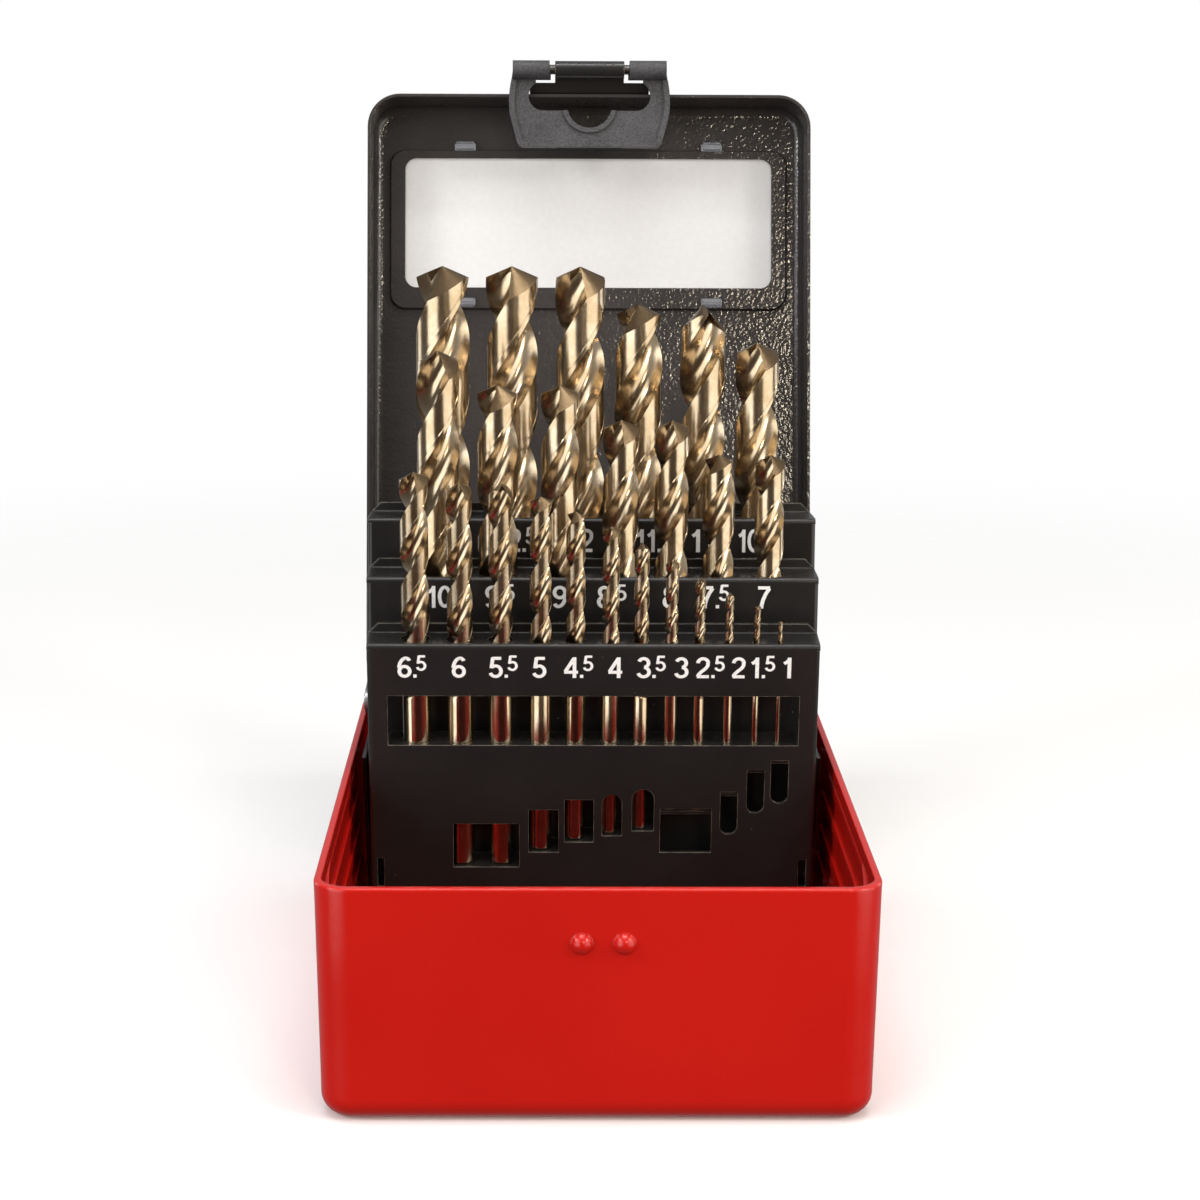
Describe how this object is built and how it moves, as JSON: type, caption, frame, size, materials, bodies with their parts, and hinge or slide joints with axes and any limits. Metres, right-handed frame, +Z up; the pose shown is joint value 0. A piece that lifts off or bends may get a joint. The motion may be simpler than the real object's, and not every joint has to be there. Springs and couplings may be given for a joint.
{
  "type": "drill bit case",
  "caption": "Sheet-steel index case for twist drills: pressed tub, hinged lid with a window and latch flap, and racks that fan out as the lid opens.",
  "frame": {"origin": "bottom centre of the whole case as it stands with its lid open", "axes": "+Z up, +X across the case to the right as seen from the latch side, +Y from the near wall towards the hinge"},
  "size_m": [0.116, 0.2108, 0.2118],
  "materials": {
    "tub_red": "gloss enamel",
    "case_black": "gloss enamel with fine orange peel",
    "rack_black": "satin enamel",
    "bare_steel": "zinc plated",
    "drill_gold": "ground, gold tempered",
    "latch_grey": "fine grained moulding",
    "clear_window": "clear moulding",
    "card": "plain paper card"
  },
  "bodies": {
    "tub": {"tub_shell": "tub_red", "tub_hinge_leaf": "bare_steel", "hinge_pin": "bare_steel", "side_bracket_left": "case_black", "side_bracket_right": "case_black", "rack_pivot_pins": "bare_steel"},
    "lid": {"lid_shell": "case_black", "lid_hinge_leaf": "bare_steel", "window_cover": "clear_window", "label_card": "card", "lid_link_pins": "bare_steel", "latch_tongue": "case_black"},
    "catch_pin": {"latch_pin": "bare_steel"},
    "catch_flap": {"latch_flap": "latch_grey"},
    "front_rack": {"rack_front": "rack_black"},
    "mid_rack": {"rack_mid": "rack_black"},
    "rear_rack": {"rack_rear": "rack_black", "rear_link_pins": "bare_steel"},
    "link_left": {"drive_link_left": "bare_steel"},
    "link_right": {"drive_link_right": "bare_steel"},
    "bit_1_0": {"drill_1_0": "drill_gold"},
    "bit_1_5": {"drill_1_5": "drill_gold"},
    "bit_2_0": {"drill_2_0": "drill_gold"},
    "bit_2_5": {"drill_2_5": "drill_gold"},
    "bit_3_0": {"drill_3_0": "drill_gold"},
    "bit_3_5": {"drill_3_5": "drill_gold"},
    "bit_4_0": {"drill_4_0": "drill_gold"},
    "bit_4_5": {"drill_4_5": "drill_gold"},
    "bit_5_0": {"drill_5_0": "drill_gold"},
    "bit_5_5": {"drill_5_5": "drill_gold"},
    "bit_6_0": {"drill_6_0": "drill_gold"},
    "bit_6_5": {"drill_6_5": "drill_gold"},
    "bit_7_0": {"drill_7_0": "drill_gold"},
    "bit_7_5": {"drill_7_5": "drill_gold"},
    "bit_8_0": {"drill_8_0": "drill_gold"},
    "bit_8_5": {"drill_8_5": "drill_gold"},
    "bit_9_0": {"drill_9_0": "drill_gold"},
    "bit_9_5": {"drill_9_5": "drill_gold"},
    "bit_10_0": {"drill_10_0": "drill_gold"},
    "bit_10_5": {"drill_10_5": "drill_gold"},
    "bit_11_0": {"drill_11_0": "drill_gold"},
    "bit_11_5": {"drill_11_5": "drill_gold"},
    "bit_12_0": {"drill_12_0": "drill_gold"},
    "bit_12_5": {"drill_12_5": "drill_gold"},
    "bit_13_0": {"drill_13_0": "drill_gold"}
  },
  "joints": [
    {"name": "case_lid_hinge", "type": "hinge", "parent": "tub", "child": "lid", "pos_m": [0, 0.05453, 0.049], "axis": [-1, 0, 0], "range_deg": [-102.6, 0]},
    {"name": "front_rack_hinge", "type": "hinge", "parent": "tub", "child": "front_rack", "pos_m": [0, 0.01833, 0.045], "axis": [-1, 0, 0], "range_deg": [-83.8, 0]},
    {"name": "mid_rack_hinge", "type": "hinge", "parent": "tub", "child": "mid_rack", "pos_m": [0, 0.01833, 0.045], "axis": [-1, 0, 0], "range_deg": [-89.6, 0]},
    {"name": "rear_rack_hinge", "type": "hinge", "parent": "tub", "child": "rear_rack", "pos_m": [0, 0.01833, 0.045], "axis": [-1, 0, 0], "range_deg": [-94, 0]},
    {"name": "drive_link_left_hinge", "type": "hinge", "parent": "lid", "child": "link_left", "pos_m": [-0.0555, 0.06212, 0.05868], "axis": [-1, 0, 0], "range_deg": [0, 102.3]},
    {"name": "drive_link_right_hinge", "type": "hinge", "parent": "lid", "child": "link_right", "pos_m": [0.0555, 0.06212, 0.05868], "axis": [-1, 0, 0], "range_deg": [0, 102.3]},
    {"name": "catch_pin_turn", "type": "hinge", "parent": "lid", "child": "catch_pin", "pos_m": [0, 0.08855, 0.20944], "axis": [-1, 0, 0], "range_deg": [0, 90.1]},
    {"name": "catch_flap_hinge", "type": "hinge", "parent": "catch_pin", "child": "catch_flap", "pos_m": [0, 0.08855, 0.20944], "axis": [-1, 0, 0], "range_deg": [0, 100]},
    {"name": "drill_1_0_lift", "type": "slide", "parent": "front_rack", "child": "bit_1_0", "axis": [0, -0.1087, 0.9941], "range_m": [0, 0.0153]},
    {"name": "drill_1_5_lift", "type": "slide", "parent": "front_rack", "child": "bit_1_5", "axis": [0, -0.1087, 0.9941], "range_m": [0, 0.018]},
    {"name": "drill_2_0_lift", "type": "slide", "parent": "front_rack", "child": "bit_2_0", "axis": [0, -0.1087, 0.9941], "range_m": [0, 0.0221]},
    {"name": "drill_2_5_lift", "type": "slide", "parent": "front_rack", "child": "bit_2_5", "axis": [0, -0.1087, 0.9941], "range_m": [0, 0.0257]},
    {"name": "drill_3_0_lift", "type": "slide", "parent": "front_rack", "child": "bit_3_0", "axis": [0, -0.1087, 0.9941], "range_m": [0, 0.0274]},
    {"name": "drill_3_5_lift", "type": "slide", "parent": "front_rack", "child": "bit_3_5", "axis": [0, -0.1087, 0.9941], "range_m": [0, 0.0315]},
    {"name": "drill_4_0_lift", "type": "slide", "parent": "front_rack", "child": "bit_4_0", "axis": [0, -0.1087, 0.9941], "range_m": [0, 0.0338]},
    {"name": "drill_4_5_lift", "type": "slide", "parent": "front_rack", "child": "bit_4_5", "axis": [0, -0.1087, 0.9941], "range_m": [0, 0.036]},
    {"name": "drill_5_0_lift", "type": "slide", "parent": "front_rack", "child": "bit_5_0", "axis": [0, -0.1087, 0.9941], "range_m": [0, 0.0387]},
    {"name": "drill_5_5_lift", "type": "slide", "parent": "front_rack", "child": "bit_5_5", "axis": [0, -0.1087, 0.9941], "range_m": [0, 0.0418]},
    {"name": "drill_6_0_lift", "type": "slide", "parent": "front_rack", "child": "bit_6_0", "axis": [0, -0.1087, 0.9941], "range_m": [0, 0.0418]},
    {"name": "drill_6_5_lift", "type": "slide", "parent": "front_rack", "child": "bit_6_5", "axis": [0, -0.1087, 0.9941], "range_m": [0, 0.045]},
    {"name": "drill_7_0_lift", "type": "slide", "parent": "mid_rack", "child": "bit_7_0", "axis": [0, -0.0073, 1], "range_m": [0, 0.045]},
    {"name": "drill_7_5_lift", "type": "slide", "parent": "mid_rack", "child": "bit_7_5", "axis": [0, -0.0073, 1], "range_m": [0, 0.045]},
    {"name": "drill_8_0_lift", "type": "slide", "parent": "mid_rack", "child": "bit_8_0", "axis": [0, -0.0073, 1], "range_m": [0, 0.045]},
    {"name": "drill_8_5_lift", "type": "slide", "parent": "mid_rack", "child": "bit_8_5", "axis": [0, -0.0073, 1], "range_m": [0, 0.045]},
    {"name": "drill_9_0_lift", "type": "slide", "parent": "mid_rack", "child": "bit_9_0", "axis": [0, -0.0073, 1], "range_m": [0, 0.045]},
    {"name": "drill_9_5_lift", "type": "slide", "parent": "mid_rack", "child": "bit_9_5", "axis": [0, -0.0073, 1], "range_m": [0, 0.045]},
    {"name": "drill_10_0_lift", "type": "slide", "parent": "mid_rack", "child": "bit_10_0", "axis": [0, -0.0073, 1], "range_m": [0, 0.045]},
    {"name": "drill_10_5_lift", "type": "slide", "parent": "rear_rack", "child": "bit_10_5", "axis": [0, 0.0687, 0.9976], "range_m": [0, 0.045]},
    {"name": "drill_11_0_lift", "type": "slide", "parent": "rear_rack", "child": "bit_11_0", "axis": [0, 0.0687, 0.9976], "range_m": [0, 0.045]},
    {"name": "drill_11_5_lift", "type": "slide", "parent": "rear_rack", "child": "bit_11_5", "axis": [0, 0.0687, 0.9976], "range_m": [0, 0.045]},
    {"name": "drill_12_0_lift", "type": "slide", "parent": "rear_rack", "child": "bit_12_0", "axis": [0, 0.0687, 0.9976], "range_m": [0, 0.045]},
    {"name": "drill_12_5_lift", "type": "slide", "parent": "rear_rack", "child": "bit_12_5", "axis": [0, 0.0687, 0.9976], "range_m": [0, 0.045]},
    {"name": "drill_13_0_lift", "type": "slide", "parent": "rear_rack", "child": "bit_13_0", "axis": [0, 0.0687, 0.9976], "range_m": [0, 0.045]}
  ],
  "couplings": [
    {"joint": "front_rack_hinge", "follows": "case_lid_hinge", "ratio": 0.8164},
    {"joint": "mid_rack_hinge", "follows": "case_lid_hinge", "ratio": 0.8731},
    {"joint": "rear_rack_hinge", "follows": "case_lid_hinge", "ratio": 0.9156},
    {"joint": "drive_link_left_hinge", "follows": "case_lid_hinge", "ratio": -0.9954},
    {"joint": "drive_link_right_hinge", "follows": "case_lid_hinge", "ratio": -0.9954},
    {"joint": "catch_pin_turn", "follows": "case_lid_hinge", "ratio": -0.8772}
  ]
}
